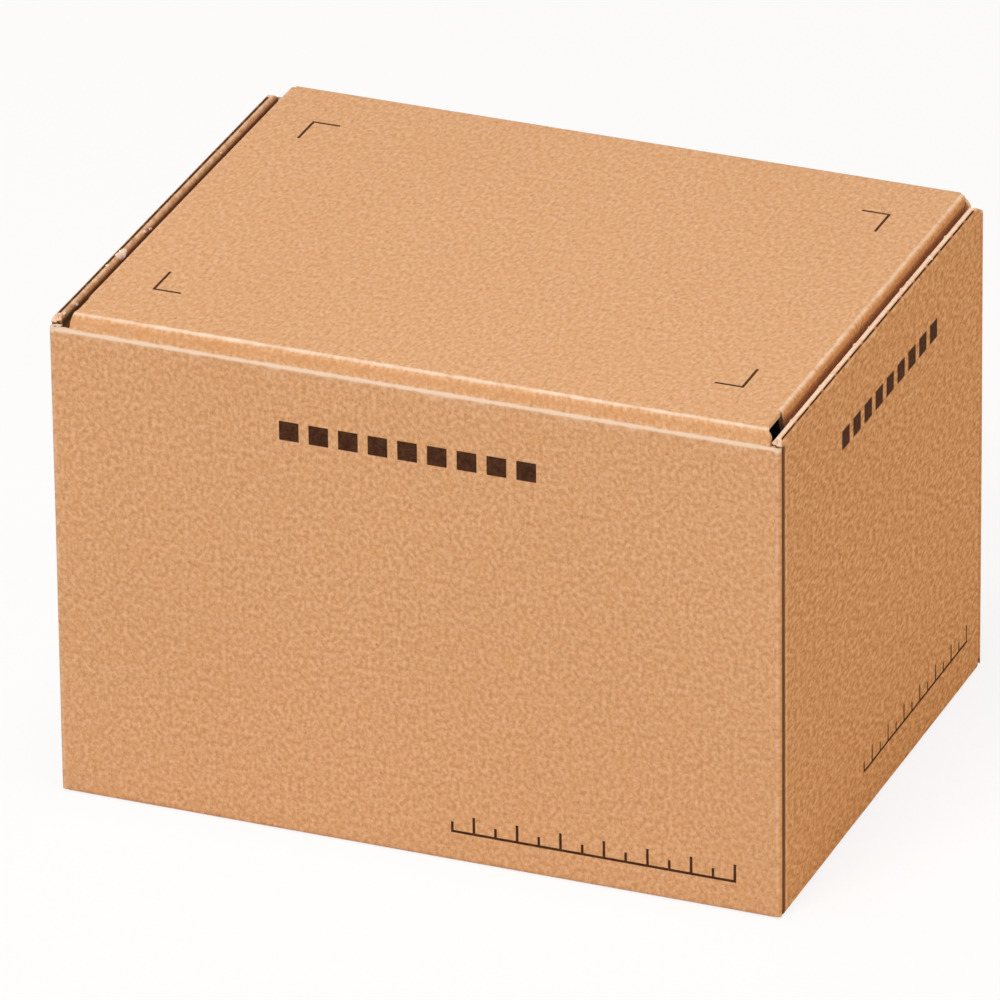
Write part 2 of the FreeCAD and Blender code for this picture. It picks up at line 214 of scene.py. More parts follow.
def bent_along_z(path, distance, z, hand, side=1.0):
    """The same with a profile in the X-Y plane, carried along Z."""
    points, normals = folded(*path, distance, side)
    middle = np.stack([hand * points[..., 0], points[..., 1], z], -1)
    outward = np.stack([hand * normals[..., 0], normals[..., 1], np.zeros_like(z)], -1)
    return middle - outward * ripple(middle)[..., None], outward


def lines(stops, step):
    """Grid lines through every stop, evenly spaced between them and at most one step apart."""
    stops = sorted(set(stops))
    spans = zip(stops, stops[1:])
    parts = [np.linspace(a, b, max(1, math.ceil((b - a) / step - 1e-6)), endpoint=False) for a, b in spans]
    return np.concatenate(parts + [[stops[-1]]])


def bend_stops(stretches, steps=7):
    """Stops at both ends of every stretch, and evenly through the ones that turn."""
    ends = np.concatenate([[0.0], np.cumsum([length for length, turn in stretches])])
    found = list(ends)
    for begin, (length, turn) in zip(ends, stretches):
        if turn:
            found += list(begin + length * np.arange(1, steps) / steps)
    return found


print("the sample fold has", len(bend_stops(one_fold)), "grid lines")

# %% [markdown]
# ## Board with two liners
# The sheet is a stack of three layers on one grid: outer liner, core, inner liner. A cell of the grid is
# either there or cut away, and at a raw edge the core stops a little short of the liners. Every place where
# a filled cell meets an empty one gets a face, so the outcome is one closed skin with true cut edges. A
# thickness modifier is quicker, but gives no liners at the cut edges and no clean slots.

# %% Skin of a layered sheet
def skin(middle, outward, solid, levels):
    """Vertices and quads round the filled cells. Solid has one layer less than there are levels. A quad lies
    between each filled cell and its empty neighbour, and is turned to face the empty side."""
    shape = (len(levels),) + middle.shape[:2]
    vertices = middle[None] + outward[None] * np.array(levels)[:, None, None, None]
    index = np.arange(np.prod(shape)).reshape(shape)
    padded = np.pad(solid, 1).astype(np.int8)
    quads, sides = [], []
    for axis in range(3):
        others = [slice(1, -1)] * 3
        others[axis] = slice(None)
        change = np.diff(padded[tuple(others)], axis=axis)
        first, second = [a for a in range(3) if a != axis]
        for sign in (1, -1):
            cell = np.stack(np.nonzero(change == sign), -1)
            corner = []
            for step_one, step_two in ((0, 0), (1, 0), (1, 1), (0, 1)):
                place = cell.copy()
                place[:, first] += step_one
                place[:, second] += step_two
                corner.append(index[tuple(place.T)])
            quad = np.stack(corner, -1)
            turned = (sign == 1) == (axis == 1)
            quads.append(quad if turned else quad[:, ::-1])
            sides.append(np.full(len(quad), axis > 0))
    return vertices.reshape(-1, 3), np.concatenate(quads), np.concatenate(sides)


def flipped_if_inside_out(vertices, quads):
    """Quads turned round if the skin's signed volume is negative."""
    a, b, c, d = (vertices[quads[:, k]] for k in range(4))
    volume = (np.cross(b - a, c - a) * a).sum() + (np.cross(c - a, d - a) * a).sum()
    return quads if volume > 0 else quads[:, ::-1]


one_cell = skin(np.zeros((2, 2, 3)), np.ones((2, 2, 3)), np.ones((1, 1, 1), bool), [1.0, -1.0])
print("the skin of one filled cell has", len(one_cell[1]), "faces")

# %% [markdown]
# ## From a skin to an object
# Each face and corner of the mesh also keeps what the material needs to know: its place on the flat sheet,
# whether it is a cut edge, its wear and painted shade, and how strong the mottling is. Painted masks could
# hold the same, but stored values follow the folds exactly and need no image.

# %% From a skin to an object
MOTTLE_UV = "sheet"


def mesh_of(name, parts, material, sharp=35.0, drawn=1.0, mottling=1.0):
    """One object from parts of (vertices in mm, quads, cut faces, sheet coordinates, wear and painted shade).
    Drawn scales the sheet coordinate along the flutes, so the grain of the mottling, and mottling is its
    strength."""
    start, vertices, quads, cuts, sheet, wear_and_shade = 0, [], [], [], [], []
    for part_vertices, part_quads, part_cuts, part_sheet, part_wear_and_shade in parts:
        used, packed = np.unique(part_quads, return_inverse=True)
        packed = packed.reshape(part_quads.shape)
        packed = flipped_if_inside_out(part_vertices[used], packed)
        vertices.append(part_vertices[used])
        quads.append(packed + start)
        cuts.append(part_cuts)
        sheet.append(part_sheet[used])
        wear_and_shade.append(part_wear_and_shade[used])
        start += len(used)
    vertices, quads, cuts, sheet, wear_and_shade = map(np.concatenate, (vertices, quads, cuts, sheet, wear_and_shade))
    mesh = bpy.data.meshes.new(name)
    mesh.from_pydata((vertices * MM).tolist(), [], quads.tolist())
    layer = mesh.uv_layers.new(name=MOTTLE_UV)
    layer.data.foreach_set("uv", (sheet[quads.ravel()] * [MM, MM * drawn]).astype(np.float32).ravel())
    mesh.attributes.new("cut", "FLOAT", "FACE").data.foreach_set("value", cuts.astype(np.float32))
    # Wear and painted shade share one value: above nought it is pale worn paper, below nought painted shade.
    mesh.attributes.new("worn_and_shaded", "FLOAT", "POINT").data.foreach_set("value", wear_and_shade.astype(np.float32))
    strengths = np.full(len(quads), mottling, np.float32)
    mesh.attributes.new("mottling", "FLOAT", "FACE").data.foreach_set("value", strengths)
    mesh.shade_smooth()
    mesh.set_sharp_from_angle(angle=math.radians(sharp))
    mesh.materials.append(material)
    piece = bpy.data.objects.new(name, mesh)
    bpy.context.scene.collection.objects.link(piece)
    print(name, "has", len(quads), "faces")
    return piece


# %% [markdown]
# ## A sheet of board
# One function makes every panel from its shape, grid, cut-outs, wear and painted shade. At the edges that
# are cut across the flutes it adds the waved sheet, which on the real board can be seen there between the
# liners.

# %% A sheet of board
CORE_SHY = 0.9  # how far the core stands back at a cut edge
WAVE_SWING = HALF - LINER - FLUTE_SHEET / 2


def no_wear(u, v):
    """Wear for board that shows none: nought everywhere."""
    return np.zeros_like(u)


def everywhere(u, v):
    """Cells for a panel without cut-outs: all of them."""
    return np.ones(u.shape, bool)


def cells_of(u_lines, v_lines):
    """Middle of each cell of a grid: the mean of the two lines at its sides, in both directions."""
    return np.meshgrid((u_lines[1:] + u_lines[:-1]) / 2, (v_lines[1:] + v_lines[:-1]) / 2, indexing="ij")


def board(shape, u_lines, v_lines, inside=everywhere, wear_and_shade=no_wear, raw=()):
    """Parts for one sheet of board. U is measured across the flutes and v along them. Raw names the sides of
    the grid that are cut edges: there the core stands back, and on v sides the waved sheet is added."""
    u, v = np.meshgrid(u_lines, v_lines, indexing="ij")
    keep = inside(*cells_of(u_lines, v_lines))
    core = keep.copy()
    for side in raw:
        edge = {"u0": np.s_[0, :], "u1": np.s_[-1, :], "v0": np.s_[:, 0], "v1": np.s_[:, -1]}[side]
        core[edge] = False
    levels = [HALF, HALF - LINER, LINER - HALF, -HALF]
    skins = [part_of(shape, u, v, np.stack([keep, core, keep]), levels, wear_and_shade)]
    fine = np.arange(u_lines[0], u_lines[-1], FLUTE_PITCH / 8)
    for side in raw:
        if side[0] == "v":
            ends = v_lines[:2] if side == "v0" else v_lines[-2:]
            u_fine, v_fine = np.meshgrid(fine, ends, indexing="ij")
            there = inside(*cells_of(fine, ends))[None]
            wave_levels = [FLUTE_SHEET / 2, -FLUTE_SHEET / 2]
            skins.append(part_of(flute(shape), u_fine, v_fine, there, wave_levels, wear_and_shade))
    return skins


def part_of(shape, u, v, solid, levels, wear_and_shade):
    """One skin with its sheet coordinates, wear and painted shade, which are the same for every level above a
    grid point.
    """
    middle, outward = shape(u, v)
    vertices, quads, cuts = skin(middle, outward, solid, levels)
    sheet = np.broadcast_to(np.stack([u, v], -1), (len(levels),) + u.shape + (2,)).reshape(-1, 2)
    worn_and_shaded = np.broadcast_to(wear_and_shade(u, v), (len(levels),) + u.shape).reshape(-1)
    return vertices, quads, cuts, sheet, worn_and_shaded


def flute(shape):
    """The waved sheet between the liners: the board's middle plus a swing times the sine of a whole turn for
    each flute pitch."""
    def waved(u, v):
        middle, outward = shape(u, v)
        wave = WAVE_SWING * np.sin(2 * math.pi * u / FLUTE_PITCH)
        return middle + outward * wave[..., None], outward
    return waved


print("the waved sheet swings", round(WAVE_SWING, 3), "mm to either side, once every", FLUTE_PITCH, "mm")

# %% [markdown]
# ## Nodes for materials
# A material is a tree of nodes. Setting it up by hand in the editor works as well, but short helpers that
# add a node and join its inputs let a material be read from top to bottom, like a recipe.

# %% Small helpers for materials
def add_node(tree, kind, inputs=None, **settings):
    """One node with its settings. An input is joined where a socket is given, and else set to the value."""
    node = tree.nodes.new(kind)
    for key, value in settings.items():
        setattr(node, key, value)
    for key, value in (inputs or {}).items():
        if isinstance(value, bpy.types.NodeSocket):
            tree.links.new(value, node.inputs[key])
        else:
            node.inputs[key].default_value = value
    return node


def maths(tree, operation, *values):
    """Outcome of one operation on values or sockets, named as in Blender: ADD, SUBTRACT, MULTIPLY, SINE."""
    node = add_node(tree, "ShaderNodeMath", operation=operation)
    for socket, value in zip(node.inputs, values):
        if isinstance(value, bpy.types.NodeSocket):
            tree.links.new(value, socket)
        else:
            socket.default_value = value
    return node.outputs[0]


def spread(tree, value, low, high, new_low=0.0, new_high=1.0):
    """Maps a value from low..high to new_low..new_high in a straight line, held at both ends."""
    inputs = {"Value": value, "From Min": low, "From Max": high, "To Min": new_low, "To Max": new_high}
    return add_node(tree, "ShaderNodeMapRange", inputs).outputs[0]


def noise(tree, vector, scale, detail=3.0, roughness=0.55):
    """A soft random value about one half at each place. A larger scale makes finer grain."""
    inputs = {"Vector": vector, "Scale": scale, "Detail": detail, "Roughness": roughness}
    return add_node(tree, "ShaderNodeTexNoise", inputs).outputs["Fac"]


def tinted(tree, base, share, colour):
    """Base mixed towards a colour: one minus the share of the base, plus the share of the colour."""
    node = add_node(tree, "ShaderNodeMix", data_type="RGBA")
    for socket, value in ((node.inputs[0], share), (node.inputs[6], base), (node.inputs[7], colour)):
        if isinstance(value, bpy.types.NodeSocket):
            tree.links.new(value, socket)
        else:
            socket.default_value = value
    return node.outputs[2]


# %% [markdown]
# ## Kraft board
# Kraft liner is a warm brown paper with fine mottling, cloudy patches, a few dark specks, and fibres along
# the sheet. Where it is creased or torn, pale fibres show. Two darker tones are painted shade, not paper:
# they darken the cuts, a narrow gap at the end walls and the spine's band, as shade would. A photographed
# texture would be quick, but would show its edges at the folds. Noise has none: the fine mottling, the fibres
# and the faint washboard of the flutes follow the sheet's own coordinates, and the cloudy patches are solid
# noise in object coordinates.

# %% Colours of the board
KRAFT = (0.778, 0.425, 0.219, 1)
KRAFT_DARK = (0.55, 0.248, 0.086, 1)
KRAFT_PALE = (0.85, 0.525, 0.30, 1)
KRAFT_WARM = (0.72, 0.345, 0.135, 1)
# Painted shade: the next two are not colours of the paper but darker tones that stand in for shade.
PAINTED_SHADE_TONE = (0.62, 0.285, 0.105, 1)
PAINTED_DEEP_SHADE = (0.10, 0.035, 0.015, 1)
SPECK = (0.34, 0.15, 0.06, 1)
TORN = (0.92, 0.71, 0.54, 1)
CORE_PAPER = (0.80, 0.57, 0.40, 1)
FINE_GRAIN, FIBRE_GRAIN = (1300.0, 1040.0, 1.0), (1000.0, 800.0, 1.0)
CLOUDY_GRAIN, BROAD_GRAIN = 300.0, 16.0
BUMP_DEPTH, BUMP_STRENGTH = 0.00006, 0.16
print("a grain of the fine mottling is about", round(1000 / FINE_GRAIN[0], 2), "mm wide")


# %% The kraft material
def kraft_board(name):
    """Kraft paper. From the base colour, each line mixes one finish in by a share: mottling, pale and dark
    fibres, patches, specks, the core at cut edges, painted shade where the stored value is below nought, and
    torn fibres where it is above."""
    material = bpy.data.materials.new(name)
    material.use_nodes = True
    tree = material.node_tree
    shader = tree.nodes["Principled BSDF"]
    place = add_node(tree, "ShaderNodeTexCoord").outputs["Object"]
    sheet = add_node(tree, "ShaderNodeUVMap", uv_map=MOTTLE_UV).outputs[0]
    worn_and_shaded = add_node(tree, "ShaderNodeAttribute", attribute_name="worn_and_shaded").outputs["Fac"]
    cut = add_node(tree, "ShaderNodeAttribute", attribute_name="cut").outputs["Fac"]
    strength = add_node(tree, "ShaderNodeAttribute", attribute_name="mottling").outputs["Fac"]
    fine_map = add_node(tree, "ShaderNodeMapping", {"Vector": sheet, "Scale": FINE_GRAIN}).outputs[0]
    fine = noise(tree, fine_map, 1.0, 3.0, 0.6)
    cloudy = noise(tree, place, CLOUDY_GRAIN, 3.0)
    broad = noise(tree, place, BROAD_GRAIN, 2.0)
    fibre_map = add_node(tree, "ShaderNodeMapping", {"Vector": sheet, "Scale": FIBRE_GRAIN}).outputs[0]
    fibres = noise(tree, fibre_map, 1.0, 2.0, 0.6)
    colour = tinted(tree, KRAFT, spread(tree, fine, 0.34, 0.66, 0.0, 0.60), KRAFT_DARK)
    pale_fibres = maths(tree, "MULTIPLY", spread(tree, fibres, 0.50, 0.68, 0.0, 0.60), strength)
    dark_fibres = maths(tree, "MULTIPLY", spread(tree, fibres, 0.32, 0.50, 0.60, 0.0), strength)
    colour = tinted(tree, colour, pale_fibres, KRAFT_PALE)
    colour = tinted(tree, colour, dark_fibres, KRAFT_DARK)
    colour = tinted(tree, colour, spread(tree, cloudy, 0.50, 0.70, 0.0, 0.45), KRAFT_WARM)
    colour = tinted(tree, colour, spread(tree, broad, 0.45, 0.75, 0.0, 0.10), KRAFT_DARK)
    colour = tinted(tree, colour, spread(tree, fine, 0.64, 0.73, 0.0, 0.55), SPECK)
    colour = tinted(tree, colour, maths(tree, "MULTIPLY", cut, 0.8), CORE_PAPER)
    # Painted shade: below nought, the stored value darkens the board as shade would.
    colour = tinted(tree, colour, spread(tree, worn_and_shaded, -0.5, 0.0, 0.6, 0.0), PAINTED_SHADE_TONE)
    colour = tinted(tree, colour, spread(tree, worn_and_shaded, -1.0, -0.5, 0.9, 0.0), PAINTED_DEEP_SHADE)
    uneven = maths(tree, "ADD", worn_and_shaded, maths(tree, "SUBTRACT", cloudy, 0.5))
    uncut = spread(tree, cut, 0.0, 1.0, 1.0, 0.3)
    frayed = maths(tree, "MULTIPLY", spread(tree, uneven, 0.22, 0.85, 0.0, 0.85), uncut)
    colour = tinted(tree, colour, frayed, TORN)
    tree.links.new(colour, shader.inputs["Base Color"])
    shader.inputs["Roughness"].default_value = 0.82
    shader.inputs["Specular IOR Level"].default_value = 0.28
    across = add_node(tree, "ShaderNodeSeparateXYZ", {"Vector": sheet}).outputs[0]
    washboard = maths(tree, "SINE", maths(tree, "MULTIPLY", across, 2 * math.pi / (FLUTE_PITCH * MM)))
    height = maths(tree, "ADD", maths(tree, "MULTIPLY", washboard, 0.10), maths(tree, "MULTIPLY", fine, 0.5))
    height = maths(tree, "ADD", height, maths(tree, "MULTIPLY", fibres, 0.25))
    relief = {"Height": height, "Distance": BUMP_DEPTH, "Strength": BUMP_STRENGTH}
    bump = add_node(tree, "ShaderNodeBump", relief)
    tree.links.new(bump.outputs[0], shader.inputs["Normal"])
    return material


board_material = kraft_board("kraft_board_face")
print("the board's material has", len(board_material.node_tree.nodes), "nodes")

# %% [markdown]
# ## Floor, hinge wall and far wall
# These three panels and the narrow spine under the lid's crease are one strip, so one path gives them: down
# the spine, a soft crease, down the hinge wall, round to the floor, and up the far wall. The floor has
# slots for the lock tabs of the end walls. Three boxes would be simpler, but would meet in hard seams where
# the real board bends.

# %% Path of the floor and long walls
CREASE_REACH = 1.6
CREASE_SOFT = 1.6
spine_length = (hinge_z - wall_height) / math.cos(spine_angle) - CREASE_REACH
spine_start = (hinge_y - CREASE_REACH * math.sin(spine_angle), hinge_z - CREASE_REACH * math.cos(spine_angle))
long_stretches = [
    (spine_length - CREASE_SOFT / 2, 0.0),
    (CREASE_SOFT, spine_angle),
    (wall_height - CREASE_SOFT / 2 - FOLD_OUT, 0.0),
    (FOLD_LENGTH, QUARTER),
    (2 * (half_d - FOLD_OUT), 0.0),
    (FOLD_LENGTH, QUARTER),
    (far_top - FOLD_OUT, 0.0),
]
long_path = (spine_start, 3 * QUARTER - spine_angle, long_stretches)
long_end = sum(length for length, turn in long_stretches)
floor_start = sum(length for length, turn in long_stretches[:4])
spine_left, spine_right = -78.7, 81.2
NOTCH_HALF = 78.5
print("the strip is", round(long_end, 1), "mm long on the flat sheet")


# %% Strip of floor and long walls
def in_tab_slot(x, y, gap=tab_gap):
    """Whether a place on the floor is in one of the four slots: each is a tab's size plus a gap all round."""
    beside = abs(abs(y) - tab_middle) < tab_half + gap
    return beside & (abs(x) > inner_half - gap) & (abs(x) < inner_half + BOARD + gap)


def floor_y(v):
    """Y of a place on the floor: its distance along the strip, less that of the floor's middle."""
    return v - floor_start - (half_d - FOLD_OUT)


def long_inside(u, v):
    """Cells of the strip: all but those beside the spine, in the far wall's top corners and in the slots."""
    beside_spine = (v < spine_length) & ((u < spine_left) | (u > spine_right))
    in_notch = (v > long_end + corner_top - far_top) & (abs(u) > NOTCH_HALF)
    in_slot = (v > floor_start) & (v < floor_start + 2 * half_d - 2 * FOLD_OUT) & in_tab_slot(u, floor_y(v))
    return ~beside_spine & ~in_slot & ~in_notch


def bell(distance, width):
    """A bell curve: e to the power of minus the square of distance over width, so 1 at nought."""
    return np.exp(-(distance / width) ** 2)


def before(distance, softness):
    """A soft step down: one over one plus e to the power of distance over softness, so a half at nought."""
    return 1 / (1 + np.exp(distance / softness))


def long_wear_and_shade(u, v):
    """Pale line along the hinge wall's crease, a sum of two bell curves, less a soft step of painted shade on
    the spine's band above it. Below nought the value means painted shade."""
    past = v - spine_length
    line = 0.95 * bell(past - 0.2, 0.48) + 0.22 * bell(past - 1.6, 1.4)
    # Painted shade: the step darkens the spine's band above the crease.
    return line - 0.4 * before(past + 0.8, 0.2)


def long_shape(u, v):
    """The strip's path, carried along X."""
    return bent_along_x(long_path, u, v)


slot_edges = [s * tab_middle + t * (tab_half + tab_gap) for s in (-1, 1) for t in (-1, 1)]
slot_sides = [inner_half - tab_gap, inner_half + BOARD + tab_gap]
long_u = [s * x for s in (-1, 1) for x in (NOTCH_HALF, corner_flat, *slot_sides)]
long_u = lines(long_u + [spine_left, spine_right], 4.0)
long_v_stops = bend_stops(long_stretches, 9) + [spine_length + d for d in (1.0, 1.4, 1.9, 2.5, 3.3)]
long_v_stops += [floor_start + half_d - FOLD_OUT + y for y in slot_edges]
long_v_stops += [long_end - CORE_SHY, long_end + corner_top - far_top]
long_v = lines(long_v_stops, 4.0)
long_parts = board(long_shape, long_u, long_v, long_inside, long_wear_and_shade, ["v1"])
long_walls = mesh_of("floor_and_long_walls", long_parts, board_material)
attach(long_walls, "tray")
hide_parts("tray")

# %% [markdown]
# ## End walls
# Each end wall folds up from the floor, rolls over a perforated ridge and goes down again inside, where it
# traps the corner flaps and locks with two tabs in the floor. The cuts along the ridge let the board fold
# that tightly, and the short bridges between them tear pale. Dark lines on a solid ridge could stand for
# the cuts. Here they are real holes, so light falls into them as it does on the real box, and painted shade
# darkens their walls and rims besides.

# %% Path of an end wall
crest_mid = (half_w - HALF - (layer_mid - HALF)) / 2
crest_z = ridge_z - crest_mid - HALF
pinch_z, lean_z, foot_z = ridge_z - 3.0, ridge_z - 14.9, BOARD + LAP
lean_in = layer_in - inner_half
lean_angle = math.atan2(lean_in, pinch_z - lean_z)
lean_soft = 0.6
end_stretches = [
    (half_w - FOLD_OUT - corner_flat, 0.0),
    (FOLD_LENGTH, QUARTER),
    (crest_z - FOLD_OUT, 0.0),
    (crest_mid * math.pi, math.pi),
    (crest_z - pinch_z - lean_soft / 2, 0.0),
    (lean_soft, -lean_angle),
    (math.hypot(lean_in, pinch_z - lean_z) - lean_soft, 0.0),
    (lean_soft, lean_angle),
    (lean_z - lean_soft / 2 - foot_z, 0.0),
    (foot_z - tab_gap, 0.0),
]
end_path = ((corner_flat, HALF), 0.0, end_stretches)
end_marks = np.concatenate([[0.0], np.cumsum([length for length, turn in end_stretches])])
crest_start, crest_end, foot_mark = end_marks[3], end_marks[4], end_marks[9]
crest_middle = (crest_start + crest_end) / 2
print("the end wall is", round(end_marks[-1], 1), "mm long, with its ridge at", round(crest_middle, 1))

# %% Row of cuts, and the end wall's outline
PERF_PITCH, PERF_CUT, PERF_START = 8.0, 6.9, 3.2
FAR_NOSE = 2.5
perf_first = PERF_START - half_d
perf_last = end_far - 2.4
perf_count = int((perf_last - perf_first) // PERF_PITCH) + 1
END_ZONE = 5.0


def stretched_ends(v, low, high, new_low, new_high):
    """V with its first and last few millimetres stretched in proportion, so that a straight grid ends on a
    shaped outline."""
    near = (v - low) / END_ZONE
    far = (high - v) / END_ZONE
    v = np.where(near < 1, new_low + (low + END_ZONE - new_low) * near, v)
    return np.where(far < 1, new_high - (new_high - high + END_ZONE) * far, v)


tip_z = lid_top - 25.0
fold_z = lid_top - FOLD_OUT
tip_out = hinge_y + math.sqrt((lid_far - hinge_y) ** 2 - (hinge_z - tip_z) ** 2)
inner_far = lid_far - BOARD - 0.5
inner_far_low = tip_out - BOARD - 0.5


def rounded_off(height, radius):
    """How far the outline stands back at the ridge's end: a quarter circle of this radius below the ridge."""
    rise = np.clip(height + HALF - (ridge_z - radius), 0, radius)
    return radius - np.sqrt(radius ** 2 - rise ** 2)


RIGHT_REACH, LEFT_REACH = 1.9, 0.6
INNER_BACK = 0.35


def end_shape(hand, near_nose):
    """Shape of one end wall. Its near end is set back by the rounding, and by a little more past the ridge,
    and above the hinge wall the ridge reaches out over that wall's corner. Its far end is rounded too, and
    inside it keeps clear of the tuck flap."""
    reach = RIGHT_REACH if hand > 0 else LEFT_REACH

    def shape(u, v):
        height = folded(*end_path, u)[0][..., 1]
        over = np.clip((u - crest_start) / (crest_end - crest_start), 0, 1)
        near = end_near + np.where(over >= 1, INNER_BACK, 0) + rounded_off(height, near_nose)
        near = near - reach * np.clip((height - wall_height - 0.1) / 0.25, 0, 1)
        nose = end_far - rounded_off(height, FAR_NOSE)
        inner = np.interp(height, [tip_z, ridge_z], [inner_far_low, inner_far])
        far = np.where(over >= 1, np.minimum(inner, nose), nose)
        y = stretched_ends(v, end_near, end_far, near, far)
        return bent_along_y(end_path, u, y, hand)
    return shape


def end_inside(perf_line, perf_half):
    """Cells of an end wall: all but the row of cuts, and below the inner panel only the two tabs."""
    def inside(u, v):
        phase = np.mod(v - perf_first, PERF_PITCH)
        in_row = (v > perf_first) & (v < perf_last) & (phase < PERF_CUT)
        beside_tab = (u > foot_mark) & (abs(abs(v) - tab_middle) > tab_half)
        return ~(in_row & (abs(u - perf_line) < perf_half)) & ~beside_tab
    return inside


def end_wear_and_shade(perf_line, perf_half, cut_shade, ridge, bridge, gap_shade):
    """Wear and painted shade of one end wall, from bell curves: pale inside the line of cuts, on the bridges
    and beside the near edge; painted shade in and round the cuts, along the very near edge, and at the top of
    the inner panel, in the narrow gap under the lid's flap."""
    def wear_and_shade(u, v):
        phase = np.mod(v - perf_first, PERF_PITCH)
        middle = abs(phase - PERF_CUT / 2 - PERF_PITCH / 2)
        across = u - perf_line
        pale = ridge * bell(across - 0.6, 0.65) + bridge * bell(middle, 0.5) * bell(across, 0.6)
        in_cut = (phase < PERF_CUT + 0.01) & (v > perf_first - 0.01) & (v < perf_last + 0.01)
        # Painted shade in and round the cuts.
        dark = cut_shade * in_cut * np.exp(-(across / (1.5 * perf_half)) ** 4)
        from_edge = v - end_near
        # Pale line beside the near edge, and painted shade along the very edge.
        edge = (u < crest_start) * (0.55 * bell(from_edge - 0.9, 0.5) - 0.9 * bell(from_edge, 0.25))
        # Painted shade at the top of the inner panel, in the narrow gap under the lid's flap.
        gap_dark = gap_shade * bell(u - crest_end - 0.3, 2.2) * before(crest_end - 0.45 - u, 0.08)
        return np.where(dark > 0.5, -dark, np.clip(pale + edge, -1, 1) - gap_dark)
    return wear_and_shade


print("the ridge has", perf_count, "cuts,", PERF_CUT, "mm long at a pitch of", PERF_PITCH, "mm")


# %% End walls
END_DRAWN, END_MOTTLING = 0.65, 1.9
RIGHT_NOSE, LEFT_NOSE = 1.0, 1.9


def end_wall(name, hand, near_nose, perf_line, perf_half, *wear_and_shade_shares):
    """One end wall, on a grid with lines along every cut, bridge, tab and fold. The shares are those of the
    wall's
    wear and painted shade: painted shade in the cuts, pale ridge, pale bridges and painted shade in the gap
    under the lid's flap."""
    perf_edges = [perf_first + n * PERF_PITCH + e for n in range(perf_count) for e in (0.0, PERF_CUT)]
    perf_edges = [y for y in perf_edges if y < perf_last] + [perf_last]
    tab_edges = [s * tab_middle + t * (tab_half + g) for s in (-1, 1) for t in (-1, 1) for g in (0, tab_gap)]
    v_stops = [end_near + d for d in (0, 0.25, 0.45, 0.9, 1.4, 2)] + [end_far - CORE_SHY, end_far]
    v_lines = lines(v_stops + perf_edges + tab_edges, 4.0)
    u_stops = bend_stops(end_stretches, 12) + [perf_line - perf_half, perf_line + perf_half]
    u_stops += [crest_start - d for d in (0.3, 0.6, 1.0, 1.4, 2.0, 2.6)] + [crest_end + d for d in (0.6, 1.4)]
    shape, inside = end_shape(hand, near_nose), end_inside(perf_line, perf_half)
    wear_and_shade = end_wear_and_shade(perf_line, perf_half, *wear_and_shade_shares)
    parts = board(shape, lines(u_stops, 4.0), v_lines, inside, wear_and_shade, ["v1"])
    piece = mesh_of(name, parts, board_material, drawn=END_DRAWN, mottling=END_MOTTLING)
    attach(piece, "tray")


RIGHT_CUTS, LEFT_CUTS = crest_middle - 0.42, crest_middle - 0.08
# Shares: painted shade in the cuts, pale ridge, pale bridges, painted shade in the gap under the lid's flap.
end_wall("end_wall_right", 1, RIGHT_NOSE, RIGHT_CUTS, 0.13, 0.85, 0.85, 0.3, 0.0)
end_wall("end_wall_left", -1, LEFT_NOSE, LEFT_CUTS, 0.17, 1.3, 0.45, 0.5, 0.95)

# %% [markdown]
# ## Corner flaps
# Each long wall ends in two corner folds. The flaps beyond them step in behind the end walls' outer panels,
# where they are trapped between the layers, which holds the box together without glue. They could be left
# out, as they hardly show, but then one could look through the gaps at the corners.

# %% Corner flaps
flap_length, flap_bevel = 52.0, 7.0
flap_top = lean_z - 0.5
step_in = corner_x - layer_mid
corner_lead = FOLD_MID - CORNER_MID
corner_out = CORNER_MID + HALF
near_step = sideways_step(step_in, near_jog + half_d - corner_out)
near_stretches = [(corner_lead, 0.0), (CORNER_LENGTH, QUARTER), *near_step, (flap_length, 0.0)]
far_step = [(length, -turn) for length, turn in sideways_step(step_in, half_d - corner_out - far_jog)]
far_stretches = [(corner_lead, 0.0), (CORNER_LENGTH, -QUARTER), *far_step, (flap_length, 0.0)]


def corner_flap(name, hand, path, side, top, creased, raw):
    """One corner fold with its flap. Past the bend the outline narrows in proportion to a bevelled flap, and
    only the bend reaches lower and higher than the flap."""
    stretches = path[2]
    length = sum(stretch[0] for stretch in stretches)
    root = length - flap_length

    def shape(u, v):
        bevel = np.clip(u - (length - flap_bevel), 0, flap_bevel)
        low, high = corner_cut + bevel, flap_top - bevel
        share = (v - corner_cut) / (flap_top - corner_cut)
        z = np.where(v <= flap_top, low + share * (high - low), v)
        return bent_along_z(path, u, z, hand, side)

    u_lines = lines(bend_stops(stretches) + [length - flap_bevel, length - CORE_SHY], 4.0)
    v_stops = [corner_foot, corner_foot + CORE_SHY, corner_cut, corner_cut + CORE_SHY, flap_top]
    v_lines = lines(v_stops + [top - d for d in (2.4, 1.6, 1.2, CORE_SHY, 0.5, 0.0)], 4.0)
    bend_end = corner_lead + CORNER_LENGTH

    def keep(u, v):
        return (u < bend_end) | ((v > corner_cut) & ((u < root) | (v < flap_top)))

    def wear_and_shade(u, v):
        return 0.35 * bell(u - bend_end / 2, 0.3) + creased * bell(top - v - 0.2, 0.7)

    parts = board(shape, u_lines, v_lines, keep, wear_and_shade, raw)
    piece = mesh_of(name, parts, board_material)
    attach(piece, "tray")


near_flap_path = ((corner_flat, HALF - half_d), 0.0, near_stretches)
far_flap_path = ((corner_flat, half_d - HALF), 0.0, far_stretches)
near_raw, far_raw = ["v0", "u1"], ["v0", "v1", "u1"]
for side_name, hand in (("right", 1), ("left", -1)):
    corner_flap(f"near_corner_flap_{side_name}", hand, near_flap_path, 1.0, wall_height, 0.9, near_raw)
    corner_flap(f"far_corner_flap_{side_name}", hand, far_flap_path, -1.0, corner_top, 0.0, far_raw)

